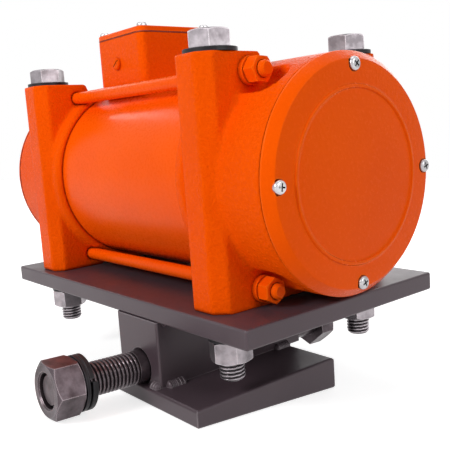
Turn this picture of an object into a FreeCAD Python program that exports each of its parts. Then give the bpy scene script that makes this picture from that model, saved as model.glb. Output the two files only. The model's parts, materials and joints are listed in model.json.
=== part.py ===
import FreeCAD, Part
import os
import re
import Sketcher
from FreeCAD import Placement, Rotation, Vector

# Electric vibration motor on a mounting plate with a wedge bracket. Millimetres and degrees.
# Origin: middle of the four foot bolts, on the top face of the mounting plate. +X runs along the
# motor shaft towards the front cover, +Z is up. Parts on the motor shaft are modelled about their
# own X axis and lifted by axis_height; rear ones are the front ones turned half round.

sizes = {
    # mounting plate and foot bolts
    "plate_length": 303.2, "plate_width": 169.6, "plate_thickness": 12, "plate_shift": 2.2,
    "plate_rounding": 1.5,
    "foot_x": 108.5, "foot_y": 59.8, "foot_radius": 7.94, "foot_hole_radius": 8.75,
    "foot_flats": 23.8, "foot_head_height": 10.8, "foot_nut_height": 13.9, "foot_thread_left": 12,
    "foot_washer_radius": 16.2, "foot_washer_thickness": 2.4,
    "foot_lock_radius": 13.7, "foot_lock_thickness": 4.8,
    # spacer block, wedge plate and weld beads
    "block_start": 17, "block_end": 65.6, "block_front": 85.4, "block_back": 42, "block_height": 44.2,
    "bore_mouth": 1.4,
    "wedge_start": -20, "wedge_end": 111, "wedge_front": 90.7, "wedge_back": 29.5,
    "wedge_thin": 11.6, "wedge_angle": 5, "wedge_rounding": 2,
    "bead_size": 4.2,
    # clamp bolt, nut and washers
    "clamp_x": 43, "clamp_drop": 49.4, "clamp_tilt": 2.5, "clamp_radius": 11.11, "clamp_play": 0.08,
    "clamp_flats": 33.3, "clamp_head_height": 13.9, "clamp_head_at": 73.1, "clamp_tip_at": 151.2,
    "clamp_nut_at": 134.6, "clamp_nut_height": 19, "clamp_washer_radius": 18,
    "clamp_washer_thickness": 2.2, "clamp_lock_thickness": 5.6,
    # end housings
    "axis_height": 75.3, "flange_start": 90, "flange_end": 123.6, "flange_half_width": 77.8,
    "column_top": 76, "column_inner": 35, "column_root": 31, "column_low": 64, "foot_relief": 1.2,
    "column_chamfer": 8, "column_rounding": 3,
    "housing_radius": 72.4, "housing_end": 157.4, "root_rounding": 3,
    "collar_start": 80, "collar_radius": 74, "collar_rounding": 5.2,
    "pad_radius": 74.2, "pad_angle": 53, "pad_spread": 24,
    "pocket_radius": 15, "pocket_end": 136,
    "web_start": 93, "seat_start": 97, "shoulder_bore": 36, "cavity_radius": 58,
    # barrel tube and tie rods
    "tube_radius": 68.5, "tube_bore": 63.5, "tube_half_length": 88,
    "rod_y": 44, "rod_z": 64.5, "rod_radius": 4.76, "rod_hole_radius": 5, "rod_end": 141,
    "rod_flats": 14.3, "rod_nut_height": 8.6, "rod_lock_radius": 8.5, "rod_lock_thickness": 3.4,
    # end covers
    "gasket_thickness": 0.8, "gasket_radius": 71.7, "cover_thickness": 6.2, "cover_bevel": 5.2,
    "cover_rounding": 6, "cover_edge": 1.2,
    "rim_radius": 54.1, "rim_width": 3, "rim_height": 1.2, "spigot_depth": 4, "spigot_width": 4,
    "cover_screw_circle": 64.1, "cover_screw_radius": 2.4, "cover_screw_length": 20,
    "cover_head_radius": 4.2, "cover_head_height": 3.2, "cover_seat_depth": 1,
    # bearings
    "bearing_radius": 45, "bearing_bore": 20, "bearing_width": 23, "ball_radius": 7.54,
    "ball_circle": 32.5, "ball_play": 0.05, "ring_inner_land": 28.6, "ring_outer_land": 36.4,
    "cage_thickness": 3, "cage_width": 18, "retainer_bore": 37, "retainer_radius": 56,
    "retainer_thickness": 4, "retainer_screw_circle": 50.5, "retainer_screw_radius": 3,
    "retainer_screw_length": 14,
    # stator and rotor
    "core_half_length": 50, "stator_bore": 37.5, "slot_depth": 14, "slot_width": 5, "tooth_lip": 2,
    "winding_reach": 22, "winding_inner": 42, "winding_outer": 58,
    "air_gap": 0.4, "end_ring_length": 8, "end_ring_outer": 34, "fan_length": 7, "fan_thickness": 2.5,
    "shaft_radius": 24, "weight_seat_radius": 17.5, "shaft_end": 156, "shaft_thread_radius": 15,
    # unbalance weights
    "weight_radius": 52, "weight_spread": 160, "hub_radius": 25, "weight_thickness": 11,
    "weight_start": 128, "weight_gap": 1, "key_width": 8, "key_height": 6, "shaft_nut_height": 3.6,
    "shaft_nut_flats": 36, "lock_screw_radius": 4,
    # junction box
    "box_x": -35.7, "box_half_length": 32.3, "box_half_width": 34, "box_top": 181.4, "box_wall": 4,
    "box_rounding": 6, "box_floor": 148, "box_boss_radius": 5.2, "lid_thickness": 3.6,
    "lid_screw_x": 27.2, "lid_screw_y": 28.6, "lid_screw_radius": 2, "lid_screw_length": 14,
    "lid_head_radius": 3.9, "lid_head_height": 2.6, "lead_hole_x": -58, "lead_hole_radius": 7,
    "entry_radius": 10.4, "entry_boss_radius": 15, "entry_boss_height": 5, "entry_below_top": 18.4,
    "ground_screw_x": -38.3, "ground_screw_height": 161.8, "ground_head_radius": 4.6,
    "box_screw_x": 12, "box_screw_radius": 3,
    "terminal_length": 40, "terminal_width": 22, "terminal_height": 11,
    "stud_radius": 2, "stud_height": 8,
}

document = FreeCAD.newDocument("VibrationMotor")
sheet = document.addObject("Spreadsheet::Sheet", "Sizes")
for row, (alias, value) in enumerate(sizes.items(), 1):
    sheet.set("A%d" % row, alias)
    sheet.set("B%d" % row, str(value))
    sheet.setAlias("B%d" % row, alias)
document.recompute()

along = {
    "x": Rotation(Vector(0, 1, 0), 90),
    "y": Rotation(Vector(1, 0, 0), -90),
    "z": Rotation(),
    "-z": Rotation(Vector(1, 0, 0), 180),
}
ends = {"front": 0, "rear": 180}
kept = []


def formula(text):
    """Turns a sum of size names into an expression that reads the sheet."""
    return re.sub(r"[a-z_]+", lambda word: ("Sizes." if word[0] in sizes else "") + word[0], str(text))


def number(text):
    """Present value of a sum of size names."""
    return float(sheet.evalExpression(formula(text)))


def bind(item, **sums):
    for name, text in sums.items():
        item.setExpression(name, formula(text))


def place(item, at=("0", "0", "0"), turn=Rotation()):
    """Sets the turn of an object and binds the three coordinates of its place."""
    item.Placement = Placement(Vector(*[number(text) for text in at]), turn)
    for axis, text in zip("xyz", at):
        item.setExpression(".Placement.Base." + axis, formula(text))


def new_body(name):
    body = document.addObject("PartDesign::Body", name)
    body.Label = name
    return body


def keep(item, label, at=("0", "0", "0"), turn=Rotation()):
    """Marks a finished sub-part, gives it its Label and puts it in place."""
    item.Label = label
    place(item, at, turn)
    kept.append(item)


def keep_at_end(item, end, label):
    """Puts a sub-part of the motor shaft at the front or the rear end."""
    keep(item, end + "_" + label, ("0", "0", "axis_height"), Rotation(Vector(0, 0, 1), ends[end]))


def keep_on_axis(item, label):
    keep(item, label, ("0", "0", "axis_height"))


def outline(body, plane, points, offset="0"):
    """Sketch of a closed outline with straight sides; each point is a pair of sums."""
    sketch = body.newObject("Sketcher::SketchObject", body.Name + "_outline")
    origin = [item for item in body.Origin.OriginFeatures if item.Role == plane][0]
    sketch.AttachmentSupport = (origin, [""])
    sketch.MapMode = "FlatFace"
    sketch.setExpression(".AttachmentOffset.Base.z", formula(offset))
    places = [Vector(number(across), number(up), 0) for across, up in points]
    count = len(points)
    for index, start in enumerate(places):
        sketch.addGeometry(Part.LineSegment(start, places[(index + 1) % count]), False)
    for index, pair in enumerate(points):
        sketch.addConstraint(Sketcher.Constraint("Coincident", index, 2, (index + 1) % count, 1))
        for kind, text, now in zip(("DistanceX", "DistanceY"), pair, places[index]):
            added = sketch.addConstraint(Sketcher.Constraint(kind, -1, 1, index, 1, now))
            name = "%s_%d" % (kind, index)
            sketch.renameConstraint(added, name)
            sketch.setExpression("Constraints." + name, formula(text))
    return sketch


def pad(body, plane, points, length, offset="0"):
    feature = body.newObject("PartDesign::Pad", body.Name + "_pad")
    sketch = outline(body, plane, points, offset)
    feature.Profile = sketch
    bind(feature, Length=length)
    sketch.Visibility = False
    return feature


def turned(body, points, cut=False, plane="XY_Plane", axis="H_Axis"):
    """Solid of revolution, or a groove of revolution, about the body's X axis."""
    kind = "Groove" if cut else "Revolution"
    sketch = outline(body, plane, points)
    feature = body.newObject("PartDesign::" + kind, body.Name + "_" + kind.lower())
    feature.Profile = sketch
    feature.ReferenceAxis = (sketch, [axis])
    feature.Angle = 360
    return feature


def steps(stations):
    """Outline of a turned piece from (place along the axis, radius) corners, closed on the axis."""
    return [(stations[0][0], "0")] + stations + [(stations[-1][0], "0")]


def bar(body, radius, length, at, way="x", cut=False, sector=None, turn=None):
    """Round bar, or a drilled hole when cut; sector limits it to part of a turn."""
    kind = "Subtractive" if cut else "Additive"
    feature = body.newObject("PartDesign::%sCylinder" % kind, body.Name + "_bar")
    bind(feature, Radius=radius, Height=length)
    if sector:
        bind(feature, Angle=sector)
    place(feature, at, turn or along[way])
    return feature


def block(body, length, width, height, at, cut=False, turn=Rotation()):
    kind = "Subtractive" if cut else "Additive"
    feature = body.newObject("PartDesign::%sBox" % kind, body.Name + "_block")
    bind(feature, Length=length, Width=width, Height=height)
    place(feature, at, turn)
    return feature


def ball(body, radius, at, cut=False):
    kind = "Subtractive" if cut else "Additive"
    feature = body.newObject("PartDesign::%sSphere" % kind, body.Name + "_ball")
    bind(feature, Radius=radius)
    place(feature, at)
    return feature


def eased(body, size, wanted, kind="Fillet"):
    """Fillet or chamfer on every edge of the body so far that passes the test."""
    document.recompute()
    base = body.Tip
    names = ["Edge%d" % (index + 1) for index, edge in enumerate(base.Shape.Edges) if wanted(edge)]
    feature = body.newObject("PartDesign::" + kind, body.Name + "_" + kind.lower())
    feature.Base = (base, names)
    bind(feature, **{"Radius" if kind == "Fillet" else "Size": size})
    return feature


def upright(edge):
    """True for a straight edge along Z."""
    return edge.Curve.TypeId == "Part::GeomLine" and abs(edge.tangentAt(edge.FirstParameter).z) > 0.999


def ring_at(place_text, radius_text):
    """Test for a circular edge about the X axis at a place and radius."""
    def wanted(edge):
        if edge.Curve.TypeId != "Part::GeomCircle":
            return False
        centre = edge.Curve.Center
        on_axis = abs(centre.y) + abs(centre.z) < 0.01 and abs(centre.x - number(place_text)) < 0.01
        return on_axis and abs(edge.Curve.Radius - number(radius_text)) < 0.01
    return wanted


def hexagon(body, flats, height, base="0", bevel_low=False):
    """Hexagon along Z with its corners bevelled at 30 degrees on the outer face or faces."""
    feature = body.newObject("PartDesign::AdditivePrism", body.Name + "_hexagon")
    feature.Polygon = 6
    bind(feature, Circumradius="(%s)/2/cos(30)" % flats, Height=height)
    place(feature, ("0", "0", base))
    corner = "(%s)/2/cos(30)+1" % flats
    inner = "(%s)*0.485" % flats
    fall = "((%s)-(%s))*tan(30)" % (corner, inner)
    top = "(%s)+(%s)" % (base, height)
    bevels = [[(inner, top), (corner, top), (corner, "%s-%s" % (top, fall))]]
    if bevel_low:
        bevels.append([(inner, base), (corner, base), (corner, "%s+%s" % (base, fall))])
    for bevel in bevels:
        turned(body, bevel, cut=True, plane="XZ_Plane", axis="V_Axis")


def nut(name, flats, height, bore):
    """Hexagon nut from z = 0 up, bevelled and countersunk on both faces."""
    body = new_body(name)
    hexagon(body, flats, height, bevel_low=True)
    bar(body, bore, height, ("0", "0", "0"), "z", cut=True)
    widest = number("(%s)*0.46" % flats)

    def mouth(edge):
        return edge.Curve.TypeId == "Part::GeomCircle" and edge.Curve.Radius < widest

    eased(body, "(%s)*0.09" % bore, mouth, "Chamfer")
    return body


def hex_bolt(name, flats, head, radius, length, point):
    """Hexagon bolt whose head stands on z = 0 and whose shank hangs down to -length."""
    body = new_body(name)
    hexagon(body, flats, head)
    bar(body, radius, length, ("0", "0", "-(%s)" % length), "z")
    eased(body, point, lambda edge: edge.BoundBox.ZMax < -number(length) + 0.01, "Chamfer")
    return body


def washer(name, radius, bore, thickness, split=False):
    """Flat washer from z = 0 up; a lock washer is cut through on a slant."""
    body = new_body(name)
    bar(body, radius, thickness, ("0", "0", "0"), "z")
    bar(body, bore, thickness, ("0", "0", "0"), "z", cut=True)
    if split:
        slant = Rotation(Vector(1, 0, 0), -30)
        reach = "(%s)*1.2" % radius
        gap = "(%s)*0.35" % thickness
        block(body, reach, gap, "4*(%s)" % thickness,
              ("0", "-(%s)/2-(%s)" % (gap, thickness), "-1.5*(%s)" % thickness), cut=True, turn=slant)
    return body


def pan_screw(name, head_radius, head_height, radius, length, slotted=False):
    """Screw along Z with a rounded head above z = 0 and its shank below; cross or slot recess."""
    body = new_body(name)
    bar(body, head_radius, head_height, ("0", "0", "0"), "z")
    bar(body, radius, length, ("0", "0", "-(%s)" % length), "z")
    top = number(head_height)
    eased(body, "(%s)*0.6" % head_height, lambda edge: edge.BoundBox.ZMin > top - 0.01)
    arm = "(%s)*%s" % (head_radius, "2.4" if slotted else "1.1")
    width = "(%s)*0.22" % head_radius
    depth = "(%s)*0.4" % head_height
    spots = ["-(%s)/2" % arm, "-(%s)/2" % width, "(%s)-(%s)" % (head_height, depth)]
    block(body, arm, width, head_height, spots, cut=True)
    if not slotted:
        block(body, width, arm, head_height, [spots[1], spots[0], spots[2]], cut=True)
    return body


def copies(piece, label, places, turns):
    """One node that holds the same piece at each place, as separate solids."""
    links = []
    for at, turn in zip(places, turns):
        link = document.addObject("App::Link", label + "_copy")
        link.LinkedObject = piece
        place(link, at, turn)
        links.append(link)
    group = document.addObject("Part::Compound", label)
    group.Links = links
    keep(group, label)


# ---- mounting plate, spacer block, wedge plate, weld beads

def mounting_plate():
    body = new_body("mounting_plate")
    half = "plate_length/2"
    side = "plate_width/2"
    pad(body, "XY_Plane", [("plate_shift-" + half, "-" + side), ("plate_shift+" + half, "-" + side),
                           ("plate_shift+" + half, side), ("plate_shift-" + half, side)],
        "plate_thickness", "-plate_thickness")
    eased(body, "plate_rounding", lambda edge: True)
    for across in ("-foot_x", "foot_x"):
        for away in ("-foot_y", "foot_y"):
            bar(body, "foot_hole_radius", "plate_thickness", (across, away, "-plate_thickness"), "z", cut=True)
    keep(body, "mounting_plate")


def clamp_bore(body):
    """Inclined hole for the clamp bolt, right through the piece."""
    turn = Rotation(Vector(1, 0, 0), 90 - number("clamp_tilt"))
    reach = "block_front+block_back"
    feature = bar(body, "clamp_radius+clamp_play", "2*(%s)" % reach,
                  ("clamp_x", "(%s)*cos(clamp_tilt)" % reach,
                   "-clamp_drop-(%s)*sin(clamp_tilt)" % reach), cut=True, turn=turn)
    feature.setExpression(".Placement.Rotation.Angle", formula("90-clamp_tilt"))


def spacer_block():
    body = new_body("spacer_block")
    pad(body, "XY_Plane", [("block_start", "-block_front"), ("block_end", "-block_front"),
                           ("block_end", "block_back"), ("block_start", "block_back")],
        "block_height", "-plate_thickness-block_height")
    eased(body, "plate_rounding", upright)
    clamp_bore(body)
    front = 0.5 - number("block_front")

    def mouth(edge):
        return edge.BoundBox.YMax < front and edge.Curve.TypeId == "Part::GeomEllipse"

    eased(body, "bore_mouth", mouth, "Chamfer")
    keep(body, "spacer_block")


def wedge_plate():
    """Plate whose underside falls towards +Y by the wedge angle."""
    body = new_body("wedge_plate")
    top = "-plate_thickness-block_height"
    thick = "wedge_thin+(wedge_front+wedge_back)*tan(wedge_angle)"
    pad(body, "YZ_Plane", [("-wedge_front", top), ("-wedge_front", "%s-wedge_thin" % top),
                           ("wedge_back", "%s-(%s)" % (top, thick)), ("wedge_back", top)],
        "wedge_end-wedge_start", "wedge_start")
    eased(body, "wedge_rounding", lambda edge: not upright(edge) and edge.Length > 1)
    clamp_bore(body)
    keep(body, "wedge_plate")


def weld_bead(name, length, at, turn):
    """Quarter-round bead with domed ends; its straight run starts at the given place."""
    run = document.addObject("Part::Cylinder", name + "_run")
    bind(run, Radius="bead_size", Height=length)
    run.Angle = 90
    parts = [run]
    for side in ("0", length):
        dome = document.addObject("Part::Sphere", name + "_dome")
        bind(dome, Radius="bead_size")
        dome.Angle3 = 90
        dome.setExpression(".Placement.Base.z", formula(side))
        parts.append(dome)
    bead = document.addObject("Part::MultiFuse", name)
    bead.Shapes = parts
    place(bead, at, turn)
    return bead


def weld_beads():
    """Long beads on the -X side of the block, tacks on the +X side, beads at its ends."""
    low = "-plate_thickness-block_height"
    high = "-plate_thickness"
    long_run = "wedge_back+block_front-6*bead_size"
    tack = "1.5*bead_size"
    tack_front = "-block_front+3.5*bead_size"
    tack_back = "wedge_back-bead_size"
    left = "block_start+bead_size"
    left_run = "clamp_x-clamp_radius-block_start-2.5*bead_size"
    right = "clamp_x+clamp_radius+1.5*bead_size"
    right_run = "block_end-clamp_x-clamp_radius-2.5*bead_size"
    start = "-block_front+2*bead_size"
    forward = {
        "plus_low": Rotation(Vector(1, 0, 0), Vector(0, 0, 1), Vector(0, -1, 0), "XYZ"),
        "plus_high": Rotation(Vector(0, 0, -1), Vector(1, 0, 0), Vector(0, -1, 0), "XYZ"),
        "minus_low": Rotation(Vector(0, 0, 1), Vector(-1, 0, 0), Vector(0, -1, 0), "XYZ"),
        "minus_high": Rotation(Vector(-1, 0, 0), Vector(0, 0, -1), Vector(0, -1, 0), "XYZ"),
        "front_low": Rotation(Vector(0, -1, 0), Vector(0, 0, 1), Vector(-1, 0, 0), "XYZ"),
        "back_under": Rotation(Vector(0, 0, -1), Vector(0, 1, 0), Vector(1, 0, 0), "XYZ"),
    }
    after = "%s+%s" % (start, long_run)
    beads = [
        weld_bead("bead_a", tack, ("block_end", tack_front, low), forward["plus_low"]),
        weld_bead("bead_b", tack, ("block_end", tack_front, high), forward["plus_high"]),
        weld_bead("bead_c", long_run, ("block_start", after, low), forward["minus_low"]),
        weld_bead("bead_d", long_run, ("block_start", after, high), forward["minus_high"]),
        weld_bead("bead_e", left_run, (left, "wedge_back", low), forward["back_under"]),
        weld_bead("bead_f", right_run, (right, "wedge_back", low), forward["back_under"]),
        weld_bead("bead_g", left_run, (left + "+" + left_run, "-block_front", low), forward["front_low"]),
        weld_bead("bead_h", right_run, (right + "+" + right_run, "-block_front", low), forward["front_low"]),
        weld_bead("bead_i", tack, ("block_end", tack_back, low), forward["plus_low"]),
        weld_bead("bead_j", tack, ("block_end", tack_back, high), forward["plus_high"]),
    ]
    group = document.addObject("Part::Compound", "bead_group")
    group.Links = beads
    keep(group, "weld_beads")


# ---- foot bolts

def foot_fasteners():
    """Four bolts right through the housings and the plate, with their washers and nuts."""
    corners = [("foot_x", "-foot_y"), ("foot_x", "foot_y"), ("-foot_x", "-foot_y"), ("-foot_x", "foot_y")]
    spins = [Rotation(Vector(0, 0, 1), angle) for angle in (-24, 8, 15, 40)]
    top = "axis_height+column_top"
    washer_under = "-plate_thickness-foot_washer_thickness"
    lock_under = washer_under + "-foot_lock_thickness"
    nut_under = lock_under + "-foot_nut_height"
    grip = "%s+foot_washer_thickness-(%s)+foot_thread_left" % (top, nut_under)
    bolt = hex_bolt("foot_bolt", "foot_flats", "foot_head_height", "foot_radius", grip, "foot_radius*0.18")
    ring = washer("foot_washer", "foot_washer_radius", "foot_hole_radius", "foot_washer_thickness")
    lock = washer("foot_lock_washer", "foot_lock_radius", "foot_radius+0.2", "foot_lock_thickness", True)
    hexagon_nut = nut("foot_nut", "foot_flats", "foot_nut_height", "foot_radius")
    for piece, label, height in (
            (bolt, "foot_bolts", top + "+foot_washer_thickness"), (ring, "foot_washers", top),
            (ring, "foot_lower_washers", washer_under), (lock, "foot_lock_washers", lock_under),
            (hexagon_nut, "foot_nuts", nut_under)):
        copies(piece, label, [(across, away, height) for across, away in corners], spins)


# ---- clamp bolt with its washers and nut

def clamp_fasteners():
    """Bolt on the inclined axis of the block: head beyond the block, nut on the near end."""
    bolt = new_body("clamp_bolt")
    hexagon(bolt, "clamp_flats", "clamp_head_height", "clamp_head_at")
    bar(bolt, "clamp_radius", "clamp_head_at+clamp_tip_at", ("0", "0", "-clamp_tip_at"), "z")
    tip = number("clamp_tip_at")
    eased(bolt, "clamp_radius*0.16", lambda edge: edge.BoundBox.ZMax < 0.01 - tip, "Chamfer")
    ring = washer("clamp_flat_washer", "clamp_washer_radius", "clamp_radius+clamp_play",
                  "clamp_washer_thickness")
    lock = washer("clamp_lock_washer", "clamp_washer_radius", "clamp_radius+clamp_play",
                  "clamp_lock_thickness", True)
    hexagon_nut = nut("clamp_nut", "clamp_flats", "clamp_nut_height", "clamp_radius+clamp_play/2")
    for piece, reach, spin in (
            (bolt, "0", 20), (ring, "-clamp_nut_at", 0), (lock, "clamp_washer_thickness-clamp_nut_at", -125),
            (hexagon_nut, "-clamp_nut_at-clamp_nut_height", 3)):
        tilt = Rotation(Vector(1, 0, 0), -90 - number("clamp_tilt"))
        at = ("clamp_x", "(%s)*cos(clamp_tilt)" % reach, "-clamp_drop-(%s)*sin(clamp_tilt)" % reach)
        keep(piece, piece.Label, at, tilt.multiply(Rotation(Vector(0, 0, 1), spin)))


# ---- end housings, barrel tube, tie rods, covers

def rod_places(along_axis):
    return [(along_axis, across + "rod_y", up + "rod_z") for up in ("", "-") for across in ("", "-")]


def sector_turn(middle, spread):
    """Turn that lays a sector of a cylinder on the X axis, centred on a direction from +Y."""
    return Rotation(Vector(1, 0, 0), middle - spread / 2).multiply(
        Rotation(Vector(0, 1, 0), Vector(0, 0, 1), Vector(1, 0, 0), "XYZ"))


def pads(body):
    """Two raised pads over the upper tie rods, falling flush towards the cover across its joint."""
    for angle in (number("pad_angle"), 180 - number("pad_angle")):
        cone = body.newObject("PartDesign::AdditiveCone", body.Name + "_pad")
        bind(cone, Radius1="pad_radius", Radius2="housing_radius", Angle="pad_spread",
             Height="housing_end+gasket_thickness-flange_end")
        place(cone, ("flange_end", "0", "0"), sector_turn(angle, number("pad_spread")))
    bar(body, "gasket_radius", "gasket_thickness+1", ("housing_end", "0", "0"), cut=True)


def screw_circle(radius, count, first=0):
    """Pairs of sums for places spaced round a circle in the YZ plane."""
    angles = [first + 360 * index / count for index in range(count)]
    return [("(%s)*cos(%g)" % (radius, angle), "(%s)*sin(%g)" % (radius, angle)) for angle in angles]


def end_housing(end):
    """Cast housing: columns for the foot bolts, bearing wall, weight chamber and pockets."""
    body = new_body(end + "_housing")
    side = "flange_half_width"
    points = [(side, "-axis_height"), (side, "column_top"), ("column_inner", "column_top"),
              ("column_root", "column_low"), ("-column_root", "column_low"),
              ("-column_inner", "column_top"), ("-" + side, "column_top"), ("-" + side, "-axis_height"),
              ("-column_inner", "-axis_height"), ("-column_inner", "foot_relief-axis_height"),
              ("column_inner", "foot_relief-axis_height"), ("column_inner", "-axis_height")]
    pad(body, "YZ_Plane", points, "flange_end-flange_start", "flange_start")

    def corner(edge):
        return upright(edge) and abs(abs(edge.BoundBox.YMin) - number(side)) < 0.1

    def shoulder(edge):
        box = edge.BoundBox
        inward = abs(abs(box.YMin) - number("column_inner")) < 0.1 and box.YLength < 0.01
        return inward and box.ZMin > number("column_top") - 0.1

    eased(body, "column_chamfer", corner, "Chamfer")
    eased(body, "column_rounding", shoulder)
    turned(body, steps([("collar_start", "collar_radius"), ("flange_start", "collar_radius"),
                        ("flange_start", "housing_radius"), ("housing_end", "housing_radius")]))
    eased(body, "collar_rounding", ring_at("collar_start", "collar_radius"))
    eased(body, "root_rounding", ring_at("flange_end", "housing_radius"))
    pads(body)
    for across, away, up in rod_places("flange_end"):
        bar(body, "pocket_radius", "pocket_end-flange_end", (across, away, up), cut=True)
        ball(body, "pocket_radius", ("pocket_end", away, up), cut=True)
        bar(body, "rod_hole_radius", "flange_end-collar_start+1", ("collar_start-1", away, up), cut=True)
    seat_end = "seat_start+bearing_width"
    turned(body, steps([("collar_start-1", "tube_radius"), ("tube_half_length", "tube_radius"),
                        ("tube_half_length", "tube_bore"), ("web_start", "tube_bore"),
                        ("web_start", "shoulder_bore"), ("seat_start", "shoulder_bore"),
                        ("seat_start", "bearing_radius"), (seat_end, "bearing_radius"),
                        (seat_end, "cavity_radius"), ("housing_end+1", "cavity_radius")]), cut=True)
    for away in ("foot_y", "-foot_y"):
        bar(body, "foot_hole_radius", "axis_height+column_top+2", ("foot_x", away, "-axis_height-1"),
            "z", cut=True)
    for away, up in screw_circle("cover_screw_circle", 4):
        bar(body, "cover_screw_radius", "cover_screw_length", ("housing_end-cover_screw_length", away, up),
            cut=True)
    for away, up in screw_circle("retainer_screw_circle", 4, 45):
        bar(body, "retainer_screw_radius", "retainer_screw_length+1",
            (seat_end + "-retainer_screw_length", away, up), cut=True)
    keep_at_end(body, end, "housing")


def barrel_tube():
    body = new_body("barrel_tube")
    bar(body, "tube_radius", "2*tube_half_length", ("-tube_half_length", "0", "0"))
    bar(body, "tube_bore", "2*tube_half_length", ("-tube_half_length", "0", "0"), cut=True)
    bar(body, "lead_hole_radius", "tube_radius", ("lead_hole_x", "0", "0"), "z", cut=True)
    for across in ("box_x-box_screw_x", "box_x+box_screw_x"):
        bar(body, "box_screw_radius", "tube_radius", (across, "0", "0"), "z", cut=True)
    keep_on_axis(body, "barrel_tube")


def tie_rods():
    """Four rods that clamp the housings onto the tube, each with a nut and lock washer per end."""
    rod = new_body("tie_rod")
    bar(rod, "rod_radius", "2*rod_end", ("0", "0", "-rod_end"), "z")
    eased(rod, "rod_radius*0.2", lambda edge: edge.Curve.TypeId == "Part::GeomCircle", "Chamfer")
    spots = [(away, "axis_height+(%s)" % up) for across, away, up in rod_places("0")]
    copies(rod, "tie_rods", [("0",) + spot for spot in spots], [along["x"]] * 4)
    lock = washer("tie_rod_lock_washer", "rod_lock_radius", "rod_radius+0.2", "rod_lock_thickness", True)
    hexagon_nut = nut("tie_rod_nut", "rod_flats", "rod_nut_height", "rod_radius")
    ways = {"": along["x"], "-": Rotation(Vector(0, 1, 0), -90)}
    for piece, label, reach in ((lock, "tie_rod_lock_washers", "flange_end"),
                                (hexagon_nut, "tie_rod_nuts", "flange_end+rod_lock_thickness")):
        places = [("%s(%s)" % (sign, reach),) + spot for sign in ways for spot in spots]
        turns = [ways[sign].multiply(Rotation(Vector(0, 0, 1), 10 + 17 * index))
                 for sign in ways for index in range(4)]
        copies(piece, label, places, turns)


def end_cover(end):
    """Round cover with an eased bevel, a raised ring, screw seats and a locating spigot."""
    cover_start = "housing_end+gasket_thickness"
    front = cover_start + "+cover_thickness"
    body = new_body(end + "_cover")
    turned(body, steps([(cover_start, "housing_radius"), (front + "-cover_bevel", "housing_radius"),
                        (front, "housing_radius-cover_bevel")]))
    eased(body, "cover_rounding", ring_at(front, "housing_radius-cover_bevel"))
    eased(body, "cover_edge", ring_at(front + "-cover_bevel", "housing_radius"))
    inner = "rim_radius-rim_width/2"
    outer = "rim_radius+rim_width/2"
    turned(body, [(front + "-1", inner), (front, inner), (front + "+rim_height", "rim_radius-rim_width/4"),
                  (front + "+rim_height", "rim_radius+rim_width/4"), (front, outer), (front + "-1", outer)])
    turned(body, [(cover_start + "+1", "cavity_radius-spigot_width"),
                  (cover_start + "-spigot_depth", "cavity_radius-spigot_width"),
                  (cover_start + "-spigot_depth", "cavity_radius-0.1"),
                  (cover_start + "+1", "cavity_radius-0.1")])
    for away, up in screw_circle("cover_screw_circle", 4):
        bar(body, "cover_screw_radius", "cover_thickness+gasket_thickness+1",
            ("housing_end-0.5", away, up), cut=True)
        bar(body, "cover_head_radius+0.3", "cover_seat_depth+1", (front + "-cover_seat_depth", away, up),
            cut=True)
    keep_at_end(body, end, "cover")

    gasket = new_body(end + "_cover_gasket")
    bar(gasket, "gasket_radius", "gasket_thickness", ("housing_end", "0", "0"))
    bar(gasket, "cavity_radius", "gasket_thickness", ("housing_end", "0", "0"), cut=True)
    for away, up in screw_circle("cover_screw_circle", 4):
        bar(gasket, "cover_screw_radius", "gasket_thickness", ("housing_end", away, up), cut=True)
    keep_at_end(gasket, end, "cover_gasket")


def cover_screws(end):
    front = "housing_end+gasket_thickness+cover_thickness-cover_seat_depth"
    sign = "" if end == "front" else "-"
    way = Rotation(Vector(0, 1, 0), 90 if end == "front" else -90)
    screw = pan_screw(end + "_cover_screw", "cover_head_radius", "cover_head_height", "cover_screw_radius",
                      "cover_screw_length")
    places = [("%s(%s)" % (sign, front), away, "axis_height+" + up)
              for away, up in screw_circle("cover_screw_circle", 4)]
    turns = [way.multiply(Rotation(Vector(0, 0, 1), 20 + 31 * index)) for index in range(4)]
    copies(screw, end + "_cover_screws", places, turns)


# ---- bearings

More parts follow.
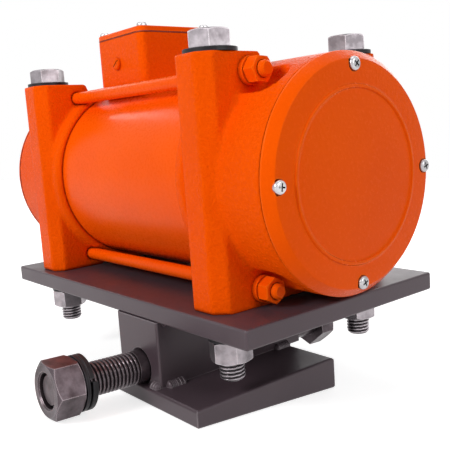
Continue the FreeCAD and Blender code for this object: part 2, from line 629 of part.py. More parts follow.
def bearing(end):
    """Deep-groove ball bearing: two rings, eight balls in a cage, and the plate that holds it in."""
    middle = "seat_start+bearing_width/2"
    seat_end = "seat_start+bearing_width"
    groove = "ball_radius+ball_play"
    for label, low, high in (("bearing_outer_ring", "ring_outer_land", "bearing_radius"),
                             ("bearing_inner_ring", "bearing_bore", "ring_inner_land")):
        ring = new_body(end + "_" + label)
        turned(ring, [("seat_start", low), (seat_end, low), (seat_end, high), ("seat_start", high)])
        track = ring.newObject("PartDesign::SubtractiveTorus", ring.Name + "_track")
        bind(track, Radius1="ball_circle", Radius2=groove)
        place(track, (middle, "0", "0"), along["x"])
        keep_at_end(ring, end, label)

    cage = new_body(end + "_bearing_cage")
    low = "ball_circle-cage_thickness/2"
    high = "ball_circle+cage_thickness/2"
    turned(cage, [("%s-cage_width/2" % middle, low), ("%s+cage_width/2" % middle, low),
                  ("%s+cage_width/2" % middle, high), ("%s-cage_width/2" % middle, high)])
    for away, up in screw_circle("ball_circle", 8):
        ball(cage, groove, (middle, away, up), cut=True)
    keep_at_end(cage, end, "bearing_cage")

    single = document.addObject("Part::Sphere", end + "_ball")
    bind(single, Radius="ball_radius")
    sign = "" if end == "front" else "-"
    places = [("%s(%s)" % (sign, middle), away, "axis_height+" + up)
              for away, up in screw_circle("ball_circle", 8)]
    copies(single, end + "_bearing_balls", places, [Rotation()] * 8)

    retainer = new_body(end + "_bearing_retainer")
    bar(retainer, "retainer_radius", "retainer_thickness", (seat_end, "0", "0"))
    bar(retainer, "retainer_bore", "retainer_thickness", (seat_end, "0", "0"), cut=True)
    for away, up in screw_circle("retainer_screw_circle", 4, 45):
        bar(retainer, "retainer_screw_radius", "retainer_thickness", (seat_end, away, up), cut=True)
    keep_at_end(retainer, end, "bearing_retainer")


def retainer_screws():
    screw = pan_screw("retainer_screw", "retainer_screw_radius*1.7", "retainer_screw_radius",
                      "retainer_screw_radius", "retainer_screw_length")
    face = "seat_start+bearing_width+retainer_thickness"
    places = []
    turns = []
    for sign, angle in (("", 90), ("-", -90)):
        for away, up in screw_circle("retainer_screw_circle", 4, 45):
            places.append(("%s(%s)" % (sign, face), away, "axis_height+" + up))
            turns.append(Rotation(Vector(0, 1, 0), angle))
    copies(screw, "retainer_screws", places, turns)


# ---- stator and rotor

def radial(angle):
    """Turn that points the local Z axis outward from the shaft at an angle from +Y."""
    return Rotation(Vector(1, 0, 0), angle - 90)


def stator():
    """Laminated core with 24 slots, and the winding that fills the slots and loops at the ends."""
    slots = [360 * index / 24 for index in range(24)]
    core = new_body("stator_core")
    bar(core, "tube_bore", "2*core_half_length", ("-core_half_length", "0", "0"))
    bar(core, "stator_bore", "2*core_half_length", ("-core_half_length", "0", "0"), cut=True)
    winding = new_body("stator_winding")
    for sign in ("", "-"):
        near = "%score_half_length" % sign
        far = "%s(core_half_length+winding_reach)" % sign
        turned(winding, [(near, "winding_inner"), (far, "winding_inner+2"), (far, "winding_outer-3"),
                         (near, "winding_outer")])
    slot_base = "stator_bore+tooth_lip+1"
    for angle in slots:
        side = ("-core_half_length", "-slot_width/2*sin(%g)" % angle, "slot_width/2*cos(%g)" % angle)
        at = (side[0], "(%s)*cos(%g)+slot_width/2*sin(%g)" % (slot_base, angle, angle),
              "(%s)*sin(%g)-slot_width/2*cos(%g)" % (slot_base, angle, angle))
        block(core, "2*core_half_length", "slot_width", "slot_depth", at, cut=True, turn=radial(angle))
        block(winding, "2*core_half_length", "slot_width", "slot_depth", at, turn=radial(angle))
    keep_on_axis(core, "stator_core")
    keep_on_axis(winding, "stator_winding")


def mirrored(stations):
    """Stations of a shaft that is the same towards both ends."""
    return [("-(%s)" % place_text, radius) for place_text, radius in reversed(stations)] + stations


def rotor():
    shaft = new_body("rotor_shaft")
    seat_end = "seat_start+bearing_width"
    turned(shaft, steps(mirrored([("seat_start", "shaft_radius"), ("seat_start", "bearing_bore"),
                                  (seat_end, "bearing_bore"), (seat_end, "weight_seat_radius"),
                                  ("shaft_end-shaft_nut_height-1", "weight_seat_radius"),
                                  ("shaft_end-shaft_nut_height-1", "shaft_thread_radius"),
                                  ("shaft_end", "shaft_thread_radius")])))
    for place_text in ("weight_start", "-weight_start-weight_thickness"):
        block(shaft, "weight_thickness", "key_width", "key_height",
              (place_text, "-key_width/2", "weight_seat_radius-key_height/2"), cut=True)
    keep_on_axis(shaft, "rotor_shaft")

    core = new_body("rotor_core")
    bar(core, "stator_bore-air_gap", "2*core_half_length", ("-core_half_length", "0", "0"))
    bar(core, "shaft_radius", "2*core_half_length", ("-core_half_length", "0", "0"), cut=True)
    keep_on_axis(core, "rotor_core")

    for end in ends:
        ring = new_body(end + "_end_ring")
        bar(ring, "end_ring_outer", "end_ring_length", ("core_half_length", "0", "0"))
        for index in range(8):
            angle = 45 * index
            at = ("core_half_length", "(shaft_radius+2)*cos(%g)+fan_thickness/2*sin(%g)" % (angle, angle),
                  "(shaft_radius+2)*sin(%g)-fan_thickness/2*cos(%g)" % (angle, angle))
            block(ring, "end_ring_length+fan_length", "fan_thickness", "end_ring_outer-shaft_radius-3", at,
                  turn=radial(angle))
        bar(ring, "shaft_radius", "end_ring_length", ("core_half_length", "0", "0"), cut=True)
        keep_at_end(ring, end, "rotor_end_ring")


# ---- unbalance weights

def weights(end):
    """Keyed fixed weight and turnable weight on one end of the shaft, key, lock screw and nut."""
    seat_end = "seat_start+bearing_width"
    turn_start = "weight_start+weight_thickness+weight_gap"
    nut_start = "shaft_end-shaft_nut_height-1"
    downward = sector_turn(-90, number("weight_spread"))

    fixed = new_body(end + "_fixed_weight")
    bar(fixed, "hub_radius", "%s-(%s)" % (turn_start, seat_end), (seat_end, "0", "0"))
    bar(fixed, "weight_radius", "weight_thickness", ("weight_start", "0", "0"), sector="weight_spread",
        turn=downward)
    bar(fixed, "weight_seat_radius", "%s-(%s)" % (turn_start, seat_end), (seat_end, "0", "0"), cut=True)
    block(fixed, "weight_thickness+weight_gap", "key_width", "key_height",
          ("weight_start", "-key_width/2", "weight_seat_radius-key_height/2"), cut=True)
    keep_at_end(fixed, end, "fixed_weight")

    turnable = new_body(end + "_turnable_weight")
    bar(turnable, "hub_radius", "%s-(%s)" % (nut_start, turn_start), (turn_start, "0", "0"))
    bar(turnable, "weight_radius", "weight_thickness", (turn_start, "0", "0"), sector="weight_spread",
        turn=downward)
    bar(turnable, "weight_seat_radius+0.05", "%s-(%s)" % (nut_start, turn_start), (turn_start, "0", "0"),
        cut=True)
    bar(turnable, "lock_screw_radius", "hub_radius", (turn_start + "+weight_thickness/2", "0", "0"), "z",
        cut=True)
    keep_at_end(turnable, end, "turnable_weight")

    screw = new_body(end + "_lock_screw")
    bar(screw, "lock_screw_radius", "hub_radius-weight_seat_radius-1.5",
        (turn_start + "+weight_thickness/2", "0", "weight_seat_radius+0.5"), "z")
    socket = screw.newObject("PartDesign::SubtractivePrism", screw.Name + "_socket")
    bind(socket, Circumradius="lock_screw_radius*0.55", Height="3")
    place(socket, (turn_start + "+weight_thickness/2", "0", "hub_radius-3"))
    keep_at_end(screw, end, "lock_screw")

    key = new_body(end + "_weight_key")
    block(key, "weight_thickness", "key_width", "key_height",
          ("weight_start", "-key_width/2", "weight_seat_radius-key_height/2"))
    keep_at_end(key, end, "weight_key")

    shaft_nut = nut(end + "_shaft_nut", "shaft_nut_flats", "shaft_nut_height", "shaft_thread_radius")
    sign = "" if end == "front" else "-"
    keep(shaft_nut, end + "_shaft_nut", ("%s(%s)" % (sign, nut_start), "0", "axis_height"),
         Rotation(Vector(0, 1, 0), 90 if end == "front" else -90))


# ---- junction box

def box_outline(spare="0"):
    half = "box_half_length-(%s)" % spare
    side = "box_half_width-(%s)" % spare
    return [("-(%s)" % half, "-(%s)" % side), (half, "-(%s)" % side), (half, side), ("-(%s)" % half, side)]


def lid_screw_places():
    return [(across, away) for across in ("-lid_screw_x", "lid_screw_x")
            for away in ("-lid_screw_y", "lid_screw_y")]


def junction_box():
    """Cast box on the barrel, with its lid, gasket and screws. Modelled about box_x."""
    body = new_body("junction_box")
    bottom = "axis_height+tube_bore"
    pad(body, "XY_Plane", box_outline(), "box_top-(%s)" % bottom, bottom)
    eased(body, "box_rounding", upright)
    block(body, "2*(box_half_length-box_wall)", "2*(box_half_width-box_wall)", "box_top-box_floor",
          ("box_wall-box_half_length", "box_wall-box_half_width", "box_floor"), cut=True)
    for across, away in lid_screw_places():
        bar(body, "box_boss_radius", "box_top-box_floor+1", (across, away, "box_floor-1"), "z")
    bar(body, "entry_boss_radius", "entry_boss_height+box_wall",
        ("0", "box_half_width-box_wall", "box_top-entry_below_top"), "y")
    bar(body, "entry_radius", "entry_boss_height+box_wall+1",
        ("0", "box_half_width-box_wall-0.5", "box_top-entry_below_top"), "y", cut=True)
    bar(body, "tube_radius", "3*box_half_length", ("-1.5*box_half_length", "0", "axis_height"), cut=True)
    bar(body, "lead_hole_radius", "box_floor-axis_height+1", ("lead_hole_x-box_x", "0", "axis_height"), "z",
        cut=True)
    for across in ("-box_screw_x", "box_screw_x"):
        bar(body, "box_screw_radius", "box_floor-axis_height+1", (across, "0", "axis_height"), "z", cut=True)
    for across, away in lid_screw_places():
        bar(body, "lid_screw_radius", "lid_screw_length", (across, away, "box_top-lid_screw_length"), "z",
            cut=True)
    bar(body, "lid_screw_radius", "box_wall", ("ground_screw_x-box_x", "-box_half_width",
                                               "ground_screw_height"), "y", cut=True)
    keep(body, "junction_box", ("box_x", "0", "0"))

    gasket = new_body("lid_gasket")
    pad(gasket, "XY_Plane", box_outline("0.6"), "gasket_thickness", "box_top")
    eased(gasket, "box_rounding-0.6", upright)
    block(gasket, "2*(box_half_length-box_wall)", "2*(box_half_width-box_wall)", "gasket_thickness",
          ("box_wall-box_half_length", "box_wall-box_half_width", "box_top"), cut=True)
    for across, away in lid_screw_places():
        bar(gasket, "box_boss_radius", "gasket_thickness", (across, away, "box_top"), "z")
    for across, away in lid_screw_places():
        bar(gasket, "lid_screw_radius", "gasket_thickness", (across, away, "box_top"), "z", cut=True)
    keep(gasket, "lid_gasket", ("box_x", "0", "0"))

    lid = new_body("box_lid")
    pad(lid, "XY_Plane", box_outline(), "lid_thickness", "box_top+gasket_thickness")
    eased(lid, "box_rounding", upright)
    top = number("box_top+gasket_thickness+lid_thickness")
    eased(lid, "lid_thickness*0.3", lambda edge: edge.BoundBox.ZMin > top - 0.01)
    for across, away in lid_screw_places():
        bar(lid, "lid_screw_radius", "lid_thickness", (across, away, "box_top+gasket_thickness"), "z",
            cut=True)
    keep(lid, "box_lid", ("box_x", "0", "0"))


def box_screws():
    lid_screw = pan_screw("lid_screw", "lid_head_radius", "lid_head_height", "lid_screw_radius",
                          "lid_screw_length")
    places = [("box_x+(%s)" % across, away, "box_top+gasket_thickness+lid_thickness")
              for across, away in lid_screw_places()]
    copies(lid_screw, "lid_screws", places, [Rotation(Vector(0, 0, 1), 25 * index) for index in range(4)])

    ground = pan_screw("ground_screw", "ground_head_radius", "lid_head_height", "lid_screw_radius",
                       "box_wall+2", slotted=True)
    keep(ground, "ground_screw", ("ground_screw_x", "-box_half_width", "ground_screw_height"),
         Rotation(Vector(1, 0, 0), 90).multiply(Rotation(Vector(0, 0, 1), 35)))

    base_screw = pan_screw("box_screw", "box_screw_radius*1.8", "box_screw_radius", "box_screw_radius",
                           "box_floor-axis_height-tube_bore-0.5")
    places = [("box_x+(%s)" % across, "0", "box_floor") for across in ("-box_screw_x", "box_screw_x")]
    copies(base_screw, "box_screws", places, [Rotation()] * 2)


def terminals():
    """Moulded terminal strip on two rows of ribs, with six studs, beside the lead hole."""
    strip = new_body("terminal_strip")
    start = "box_x-terminal_length/2+box_screw_x/2"
    level = "box_floor+box_screw_radius+1"
    block(strip, "terminal_length", "terminal_width", "terminal_height", (start, "-terminal_width/2", level))
    block(strip, "terminal_length-8", "terminal_width-12", "box_screw_radius+1",
          (start + "+4", "-(terminal_width-12)/2", "box_floor"))
    for across in ("-box_screw_x", "box_screw_x"):
        bar(strip, "box_screw_radius*1.9", level + "-box_floor", ("box_x+(%s)" % across, "0", "box_floor"),
            "z", cut=True)
    spots = [(start + "+terminal_length*%g" % share, side) for share in (0.2, 0.5, 0.8)
             for side in ("-terminal_width/4", "terminal_width/4")]
    for across, away in spots:
        bar(strip, "stud_radius", "terminal_height", (across, away, level), "z", cut=True)
    keep(strip, "terminal_strip")
    stud = new_body("terminal_stud")
    bar(stud, "stud_radius", "terminal_height+stud_height", ("0", "0", "0"), "z")
    hexagon(stud, "stud_radius*3.6", "stud_radius", "terminal_height", bevel_low=True)
    copies(stud, "terminal_studs", [(across, away, level) for across, away in spots], [Rotation()] * 6)


mounting_plate()
spacer_block()
wedge_plate()
weld_beads()
foot_fasteners()
clamp_fasteners()
barrel_tube()
tie_rods()
stator()
rotor()
for end in ends:
    end_housing(end)
    end_cover(end)
    cover_screws(end)
    bearing(end)
    weights(end)
retainer_screws()
junction_box()
box_screws()
terminals()
document.recompute()

for item in document.Objects:
    if "Invalid" in item.State or "Error" in item.State:
        raise RuntimeError("%s did not build: %s" % (item.Name, item.State))
os.makedirs("parts", exist_ok=True)
for item in kept:
    if item.Shape.isNull() or not item.Shape.isValid() or not item.Shape.Solids:
        raise RuntimeError(item.Label + " has no valid shape")
for item in kept:
    item.Shape.exportStep("parts/%s.step" % item.Label)
print(len(kept), "sub-parts written")
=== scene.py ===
import json
import math
import bmesh
import bpy
from mathutils import Matrix, Vector


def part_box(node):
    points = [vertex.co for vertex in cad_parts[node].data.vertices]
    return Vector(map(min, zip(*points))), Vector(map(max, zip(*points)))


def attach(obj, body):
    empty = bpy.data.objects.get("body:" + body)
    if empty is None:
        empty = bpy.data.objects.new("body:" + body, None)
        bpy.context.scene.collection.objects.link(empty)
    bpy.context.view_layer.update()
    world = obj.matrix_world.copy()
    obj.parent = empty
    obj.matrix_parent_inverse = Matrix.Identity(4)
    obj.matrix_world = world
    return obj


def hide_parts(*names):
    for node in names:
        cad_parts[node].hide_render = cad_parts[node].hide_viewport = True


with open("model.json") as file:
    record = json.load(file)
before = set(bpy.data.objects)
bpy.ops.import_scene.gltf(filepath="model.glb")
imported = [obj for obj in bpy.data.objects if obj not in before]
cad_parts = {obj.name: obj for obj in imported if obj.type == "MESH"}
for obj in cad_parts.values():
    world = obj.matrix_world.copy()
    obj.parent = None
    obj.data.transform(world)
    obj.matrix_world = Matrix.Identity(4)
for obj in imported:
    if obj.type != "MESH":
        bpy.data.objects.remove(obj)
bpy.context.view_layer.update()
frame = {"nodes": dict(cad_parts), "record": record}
nodes = frame["nodes"]
up = Vector((0, 0, 1))
along = Vector((1, 0, 0))    # the shaft's direction
inch = 0.0254
shaftHeight = 0.0753
tiny = 0.00001


# small helpers for node trees

def addNode(tree, kind, **settings):
    node = tree.nodes.new(kind)
    for name, value in settings.items():
        setattr(node, name, value)
    return node


def feed(tree, socket, value):
    if isinstance(value, bpy.types.NodeSocket):
        tree.links.new(value, socket)
    else:
        socket.default_value = value


def calc(tree, operation, first, second=0.0):
    node = addNode(tree, "ShaderNodeMath", operation=operation)
    for socket, value in zip(node.inputs, (first, second)):
        feed(tree, socket, value)
    return node.outputs[0]


def grain(tree, place, scale, detail=2.0, roughness=0.5):
    node = addNode(tree, "ShaderNodeTexNoise")
    feed(tree, node.inputs["Vector"], place)
    node.inputs["Scale"].default_value = scale
    node.inputs["Detail"].default_value = detail
    node.inputs["Roughness"].default_value = roughness
    return node.outputs["Fac"]


def spread(tree, value, low, high, toLow, toHigh, curve="LINEAR"):
    node = addNode(tree, "ShaderNodeMapRange", interpolation_type=curve)
    for socket, number in zip(node.inputs, (value, low, high, toLow, toHigh)):
        feed(tree, socket, number)
    return node.outputs["Result"]


def blendColours(tree, amount, first, second):
    node = addNode(tree, "ShaderNodeMix", data_type="RGBA")
    feed(tree, node.inputs["Factor"], amount)
    feed(tree, node.inputs["A"], first)
    feed(tree, node.inputs["B"], second)
    return node.outputs["Result"]


def raised(tree, height, distance, strength=1.0, below=None):
    node = addNode(tree, "ShaderNodeBump")
    node.inputs["Strength"].default_value = strength
    node.inputs["Distance"].default_value = distance
    feed(tree, node.inputs["Height"], height)
    if below:
        tree.links.new(below, node.inputs["Normal"])
    return node.outputs["Normal"]


def directRays(tree):
    # 1 for what the camera sees, straight or by way of metal or glass
    rays = addNode(tree, "ShaderNodeLightPath")
    mirrored = calc(tree, "MAXIMUM", rays.outputs["Is Glossy Ray"], rays.outputs["Is Transmission Ray"])
    return calc(tree, "MAXIMUM", rays.outputs["Is Camera Ray"], mirrored)


def newMaterial(name):
    material = bpy.data.materials.new(name)
    material.use_nodes = True
    tree = material.node_tree
    place = addNode(tree, "ShaderNodeTexCoord").outputs["Object"]
    return material, tree, tree.nodes["Principled BSDF"], place


# finishes

# how far the painted edge highlight spreads from the corners
highlightEdges = {"samples": 6, "flat": 0.985, "corner": 0.90}
narrow = {"samples": 8, "shut": 0.30, "open": 0.85}


def paintedEdgeHighlight(tree, reach, most):
    # 0 on flat faces, rising towards the corners: the mask for a painted highlight along the edges
    rounded = addNode(tree, "ShaderNodeBevel", samples=highlightEdges["samples"])
    rounded.inputs["Radius"].default_value = reach
    trueNormal = addNode(tree, "ShaderNodeNewGeometry").outputs["Normal"]
    facing = addNode(tree, "ShaderNodeVectorMath", operation="DOT_PRODUCT")
    tree.links.new(rounded.outputs[0], facing.inputs[0])
    tree.links.new(trueNormal, facing.inputs[1])
    return spread(tree, facing.outputs["Value"], highlightEdges["flat"], highlightEdges["corner"], 0.0, most)


def recessShadeMask(tree, reach, most):
    # 0 in the open, rising in narrow gaps: the mask for painted shade
    close = addNode(tree, "ShaderNodeAmbientOcclusion", samples=narrow["samples"], only_local=False)
    close.inputs["Distance"].default_value = reach
    return spread(tree, close.outputs["AO"], narrow["shut"], narrow["open"], most, 0.0)


# the edge colour is a painted highlight along the corners, the crevice colour a painted shade in narrow gaps
orangePaint = {
    "colour": (0.95, 0.102, 0.0008, 1), "shade": (0.82, 0.070, 0.0006, 1), "edge": (1.0, 0.20, 0.012, 1),
    "creviceShade": (0.34, 0.022, 0.0004, 1), "shine": (1.0, 0.40, 0.10, 1),
    "grainScale": 520, "grainDepth": 0.0011, "waveScale": 110, "waveDepth": 0.0006, "patchScale": 14,
    "edgeReach": 0.0016, "edgeMost": 0.5, "creviceReach": 0.004, "creviceMost": 0.7,
}
coverRing = {"radius": 0.0517, "half": 0.0027, "height": 0.0006}


def ringRelief(tree, place, ring):
    # a low rounded ridge about the shaft's axis
    apart = addNode(tree, "ShaderNodeSeparateXYZ")
    tree.links.new(place, apart.inputs[0])
    side = apart.outputs["Y"]
    level = calc(tree, "SUBTRACT", apart.outputs["Z"], shaftHeight)
    squares = calc(tree, "ADD", calc(tree, "MULTIPLY", side, side), calc(tree, "MULTIPLY", level, level))
    off = calc(tree, "ABSOLUTE", calc(tree, "SUBTRACT", calc(tree, "SQRT", squares), ring["radius"]))
    return spread(tree, off, 0.0, ring["half"], 1.0, 0.0, "SMOOTHSTEP")


def makePaint(name, cast, roughness, index, ring=None):
    # cast says how much of the casting's roughness shows, from 0 to 1
    paint = orangePaint
    material, tree, shader, place = newMaterial(name)
    fine = grain(tree, place, paint["grainScale"], 3, 0.6)
    wave = grain(tree, place, paint["waveScale"], 2)
    patch = grain(tree, place, paint["patchScale"], 3)
    pits = spread(tree, fine, 0.40, 0.62, 0.3 * cast, 0)
    tone = calc(tree, "ADD", spread(tree, patch, 0.35, 0.65, 0, 0.35), pits)
    body = blendColours(tree, tone, paint["colour"], paint["shade"])
    # painted highlight along the corners, then painted shade in narrow gaps
    highlighted = blendColours(tree, paintedEdgeHighlight(tree, paint["edgeReach"], paint["edgeMost"]), body, paint["edge"])
    paintedCreviceShade = recessShadeMask(tree, paint["creviceReach"], paint["creviceMost"])
    feed(tree, shader.inputs["Base Color"], blendColours(tree, paintedCreviceShade, highlighted, paint["creviceShade"]))
    feed(tree, shader.inputs["Roughness"], spread(tree, fine, 0.3, 0.7, *roughness))
    low = raised(tree, wave, paint["waveDepth"], 0.3 * cast)
    if ring:
        low = raised(tree, ringRelief(tree, place, ring), ring["height"], 1.0, low)
    feed(tree, shader.inputs["Normal"], raised(tree, fine, paint["grainDepth"], 0.8 * cast, low))
    shader.inputs["IOR"].default_value = index
    shader.inputs["Specular Tint"].default_value = paint["shine"]
    return material


# the edge colour is a painted highlight along the corners
darkSteel = {
    "colour": (0.060, 0.039, 0.048, 1), "worn": (0.094, 0.070, 0.082, 1), "edge": (0.22, 0.185, 0.20, 1),
    "roughness": (0.32, 0.46), "metallic": 0.15, "index": 1.45, "cloudScale": 22, "speckScale": 900,
    "speckDepth": 0.0002, "edgeReach": 0.0016, "edgeMost": 0.8,
}


def makeDarkSteel(name):
    steel = darkSteel
    material, tree, shader, place = newMaterial(name)
    cloud = grain(tree, place, steel["cloudScale"], 4, 0.6)
    speck = grain(tree, place, steel["speckScale"], 2)
    # painted highlight along the corners
    edge = paintedEdgeHighlight(tree, steel["edgeReach"], steel["edgeMost"])
    base = blendColours(tree, spread(tree, cloud, 0.3, 0.7, 0, 0.30), steel["colour"], steel["worn"])
    feed(tree, shader.inputs["Base Color"], blendColours(tree, edge, base, steel["edge"]))
    feed(tree, shader.inputs["Roughness"], spread(tree, cloud, 0.3, 0.7, *steel["roughness"]))
    feed(tree, shader.inputs["Normal"], raised(tree, speck, steel["speckDepth"], 0.25))
    shader.inputs["Metallic"].default_value = steel["metallic"]
    shader.inputs["IOR"].default_value = steel["index"]
    return material


# the dark colour and its amounts for grooves and gaps are painted shade
bareMetal = {
    "cloudScale": 70, "paintedRecessShade": (0.012, 0.010, 0.011, 1), "grooveShade": 0.85, "gapReach": 0.0016, "gapShade": 0.9,
    "edgeReach": 0.0011, "edgeMost": 0.8,
}


def makeMetal(name, colour, dull, roughness, metallic=0.85, scratch=1400, depth=0.00012, edge=None, index=1.5):
    metal = bareMetal
    material, tree, shader, place = newMaterial(name)
    cloud = grain(tree, place, metal["cloudScale"], 4, 0.6)
    fine = grain(tree, place, scratch, 2)
    clean = blendColours(tree, spread(tree, cloud, 0.35, 0.65, 0, 1), colour, dull)
    # the edge colour is a painted highlight along the corners
    if edge:
        clean = blendColours(tree, paintedEdgeHighlight(tree, metal["edgeReach"], metal["edgeMost"]), clean, edge)
    # painted shade darkens recesses and thread grooves, which carry their depth as an attribute
    groove = addNode(tree, "ShaderNodeAttribute", attribute_name="groove").outputs["Fac"]
    inGrooves = spread(tree, groove, 0.45, 1.0, 0.0, metal["grooveShade"])
    paintedRecessShade = calc(tree, "MAXIMUM", inGrooves, recessShadeMask(tree, metal["gapReach"], metal["gapShade"]))
    feed(tree, shader.inputs["Base Color"], blendColours(tree, paintedRecessShade, clean, metal["paintedRecessShade"]))
    feed(tree, shader.inputs["Roughness"], spread(tree, cloud, 0.3, 0.7, *roughness))
    feed(tree, shader.inputs["Normal"], raised(tree, fine, depth, 0.4))
    shader.inputs["Metallic"].default_value = metallic
    shader.inputs["IOR"].default_value = index
    return material


finishes = {
    "orange_paint": makePaint("castOrange", 1.0, (0.18, 0.30), 1.10),
    "orange_barrel": makePaint("smoothOrange", 0.08, (0.24, 0.32), 1.18),
    "coverPaint": makePaint("coverOrange", 0.3, (0.20, 0.30), 1.22, coverRing),
    "plate_paint": makeDarkSteel("darkPlate"),
    # the edge colours given to the metals below are painted highlights along the corners
    "plain_steel": makeMetal(
        "plainSteel", (0.42, 0.38, 0.405, 1), (0.17, 0.152, 0.163, 1), (0.24, 0.42),
        edge=(0.62, 0.57, 0.60, 1)),
    "black_steel": makeMetal(
        "blackOxide", (0.007, 0.006, 0.008, 1), (0.012, 0.011, 0.013, 1), (0.34, 0.48), 0.0,
        edge=(0.05, 0.046, 0.054, 1), index=1.3),
    "zinc_plate": makeMetal(
        "brightZinc", (0.60, 0.59, 0.60, 1), (0.36, 0.35, 0.36, 1), (0.18, 0.32), 1.0),
    "painted_gasket": makeMetal(
        "paintedGasket", (0.42, 0.035, 0.001, 1), (0.30, 0.022, 0.001, 1), (0.5, 0.65), 0.0),
    # a darker copy of the plain steel: painted shade on the clamp bolt and nut
    "shadedClampMetal": makeMetal(
        "shadedClampSteel", (0.115, 0.090, 0.102, 1), (0.040, 0.026, 0.030, 1), (0.26, 0.42), 0.7,
        edge=(0.34, 0.29, 0.31, 1)),
    "bearing_steel": makeMetal(
        "groundSteel", (0.62, 0.62, 0.63, 1), (0.55, 0.55, 0.56, 1), (0.12, 0.22), 1.0),
    "core_steel": makeMetal(
        "laminations", (0.30, 0.30, 0.31, 1), (0.22, 0.22, 0.23, 1), (0.4, 0.55), 0.9),
    "copper_winding": makeMetal(
        "enamelledCopper", (0.62, 0.22, 0.07, 1), (0.45, 0.14, 0.04, 1), (0.25, 0.4), 0.7, 500, 0.0004),
    "cast_aluminium": makeMetal(
        "castAluminium", (0.66, 0.66, 0.67, 1), (0.5, 0.5, 0.51, 1), (0.4, 0.55), 0.9, 500, 0.0003),
    "weight_iron": makeMetal(
        "machinedIron", (0.2, 0.2, 0.21, 1), (0.13, 0.13, 0.135, 1), (0.4, 0.55), 0.8),
    "terminal_plastic": makeMetal(
        "mouldedBlack", (0.03, 0.03, 0.032, 1), (0.04, 0.04, 0.042, 1), (0.4, 0.55), 0.0),
    "bare_brass": makeMetal(
        "plainBrass", (0.72, 0.52, 0.22, 1), (0.6, 0.42, 0.17, 1), (0.22, 0.36), 1.0),
}
pieceFinish = {
    "front_cover": "coverPaint", "rear_cover": "coverPaint", "box_lid": "coverPaint",
    # the clamp bolt and nut take the darker copy of the steel, a painted shade
    "clamp_nut": "shadedClampMetal", "clamp_bolt": "shadedClampMetal",
    "tie_rods": "orange_barrel", "tie_rod_nuts": "orange_barrel", "tie_rod_lock_washers": "orange_barrel",
}
slotOf = {entry["node"]: entry["material_slot"] for entry in frame["record"]["subparts"]}
bodyOf = {node: body for body, group in frame["record"]["behaviour"]["bodies"].items() for node in group}


def finishFor(name):
    return finishes[pieceFinish.get(name, slotOf[name])]


for name, node in nodes.items():
    node.data.materials.clear()
    node.data.materials.append(finishFor(name))
print("finishes on", len(nodes), "nodes")


# copies of the solids that get finer shapes

def mergedCopy(name):
    mesh = nodes[name].data.copy()
    shape = bmesh.new()
    shape.from_mesh(mesh)
    bmesh.ops.remove_doubles(shape, verts=shape.verts, dist=tiny)
    return mesh, shape


def dropOldNormals(mesh):
    # the loaded solids carry stored corner normals that no longer fit once faces change
    if "custom_normal" in mesh.attributes:
        mesh.attributes.remove(mesh.attributes["custom_normal"])


def standFor(mesh, pieceName, name):
    piece = bpy.data.objects.new(pieceName, mesh)
    bpy.context.scene.collection.objects.link(piece)
    mesh.materials.clear()
    mesh.materials.append(finishFor(name))
    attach(piece, bodyOf[name])
    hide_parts(name)
    print(pieceName, len(mesh.polygons), "faces")
    return piece


def smoothed(piece, degrees):
    piece.data.shade_smooth()
    piece.data.set_sharp_from_angle(angle=math.radians(degrees))


def settled(piece):
    bpy.context.view_layer.update()
    ready = piece.evaluated_get(bpy.context.evaluated_depsgraph_get())
    mesh = bpy.data.meshes.new_from_object(ready)
    bpy.data.objects.remove(piece)
    return mesh


castings = {
    "frontHousingCasting": {"node": "front_housing", "voxel": 0.0013, "smooth": 1},
    "rearHousingCasting": {"node": "rear_housing", "voxel": 0.0013, "smooth": 1},
    "junctionBoxCasting": {"node": "junction_box", "voxel": 0.0008, "smooth": 3},
}


def makeCasting(pieceName, node, voxel, smooth):
    mesh, shape = mergedCopy(node)
    shape.to_mesh(mesh)
    shape.free()
    rough = bpy.data.objects.new("rough", mesh)
    bpy.context.scene.collection.objects.link(rough)
    remesh = rough.modifiers.new("remesh", "REMESH")
    remesh.mode = "VOXEL"
    remesh.voxel_size = voxel
    remesh.use_smooth_shade = True
    ease = rough.modifiers.new("ease", "SMOOTH")
    ease.factor = 0.5
    ease.iterations = smooth
    standFor(settled(rough), pieceName, node)


for pieceName, settings in castings.items():
    makeCasting(pieceName, **settings)


# the covers: the same planes with a tighter rounding between them, and a slightly narrower rim ring

coverEdge = {"face": 0.1644, "corner": 0.0672, "wide": 0.0060, "tight": 0.0014, "oldRing": 0.0541}
coverSides = {"frontCoverEdged": ("front_cover", 1), "rearCoverEdged": ("rear_cover", -1)}


def makeCover(pieceName, node, side, face, corner, wide, tight, oldRing):
    # wide is the solid's rounding between face and chamfer, tight is the new one
    tangent = math.tan(math.radians(22.5))
    margin, ringHalf = 0.00012, 0.0016
    mesh, shape = mergedCopy(node)
    for vertex in shape.verts:
        x, y, z = vertex.co.x * side, vertex.co.y, vertex.co.z - shaftHeight
        radius = math.hypot(y, z)
        ahead, out = x - (face - wide), radius - (corner - wide * tangent)
        newX, newRadius = x, radius
        if abs(math.hypot(ahead, out) - wide) < margin and ahead > 0 and out > -tiny:
            angle = min(math.atan2(out, ahead), math.radians(45))
            newX = face - tight + tight * math.cos(angle)
            newRadius = corner - tight * tangent + tight * math.sin(angle)
        elif x > face - tiny and abs(radius - oldRing) < ringHalf:
            newRadius = radius + coverRing["radius"] - oldRing
        if newRadius != radius:
            vertex.co = (newX * side, y * newRadius / radius, z * newRadius / radius + shaftHeight)
    shape.to_mesh(mesh)
    shape.free()
    dropOldNormals(mesh)
    smoothed(standFor(mesh, pieceName, node), 25)


for pieceName, (node, side) in coverSides.items():
    makeCover(pieceName, node, side, **coverEdge)


# node trees that set one shape on points, each point with its own direction

